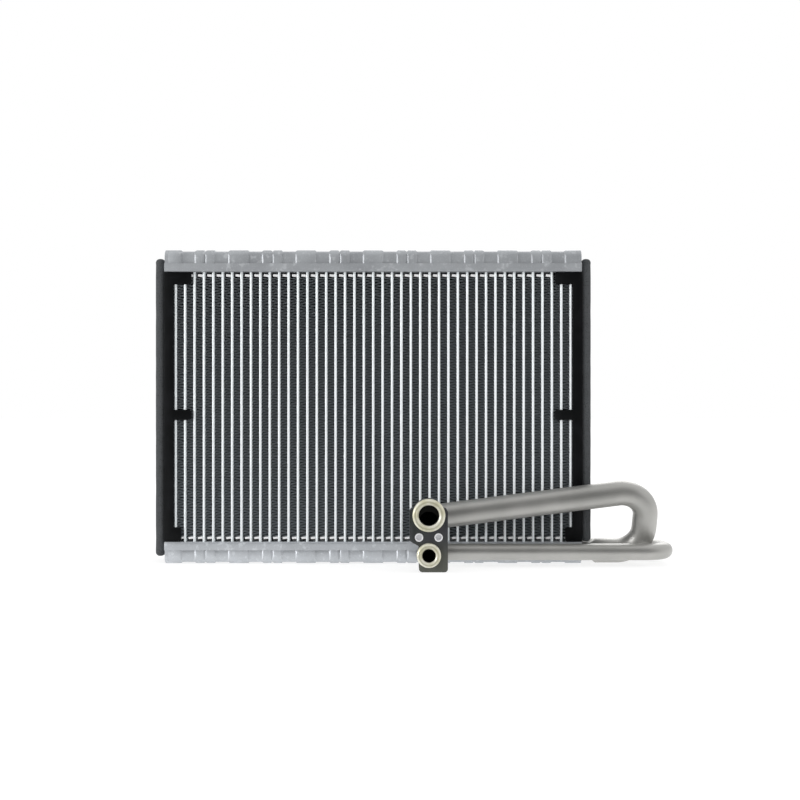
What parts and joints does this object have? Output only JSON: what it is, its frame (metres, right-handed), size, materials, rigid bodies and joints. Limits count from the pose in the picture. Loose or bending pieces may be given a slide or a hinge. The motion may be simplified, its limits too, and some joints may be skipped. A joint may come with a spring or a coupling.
{
  "type": "evaporator core",
  "caption": "Flat-tube and fin refrigerant evaporator core with stamped tanks, side seals and two bent pipes led to one connection block.",
  "frame": {"origin": "middle of the lower tank's underside, at the mid-depth of the core", "axes": "+X along the tanks towards the pipe bends, +Y from the connection block's side to the back, +Z from the lower tank to the upper tank"},
  "size_m": [0.3826, 0.0884, 0.2322],
  "materials": {
    "upper_tank": "brazed sheet, dull blue-grey",
    "lower_tank": "brazed sheet, light grey",
    "tube": "bright extruded",
    "fin": "dark coated folded sheet",
    "side_plate": "mill finish",
    "side_cover": "moulded, matt black",
    "seal": "closed-cell foam",
    "pipe": "brazed, dull warm grey",
    "block": "dark coated",
    "sleeve": "turned, pale yellow passivated",
    "insert": "bright"
  },
  "bodies": {
    "root": {"upper_tube_plate": "upper_tank", "upper_tank_cover": "upper_tank", "upper_left_cap": "upper_tank", "upper_right_cap": "upper_tank", "upper_baffles": "upper_tank", "lower_tube_plate": "lower_tank", "lower_tank_cover": "lower_tank", "lower_left_cap": "lower_tank", "lower_right_cap": "lower_tank", "lower_baffles": "lower_tank", "front_tubes": "tube", "rear_tubes": "tube", "fin_packs": "fin", "left_side_plate": "side_plate", "right_side_plate": "side_plate", "left_side_cover": "side_cover", "right_side_cover": "side_cover", "left_seal_strip": "seal", "right_seal_strip": "seal", "suction_pipe": "pipe", "liquid_pipe": "pipe", "connection_block": "block", "suction_port_sleeve": "sleeve", "liquid_port_sleeve": "sleeve", "threaded_inserts": "insert"}
  },
  "joints": []
}
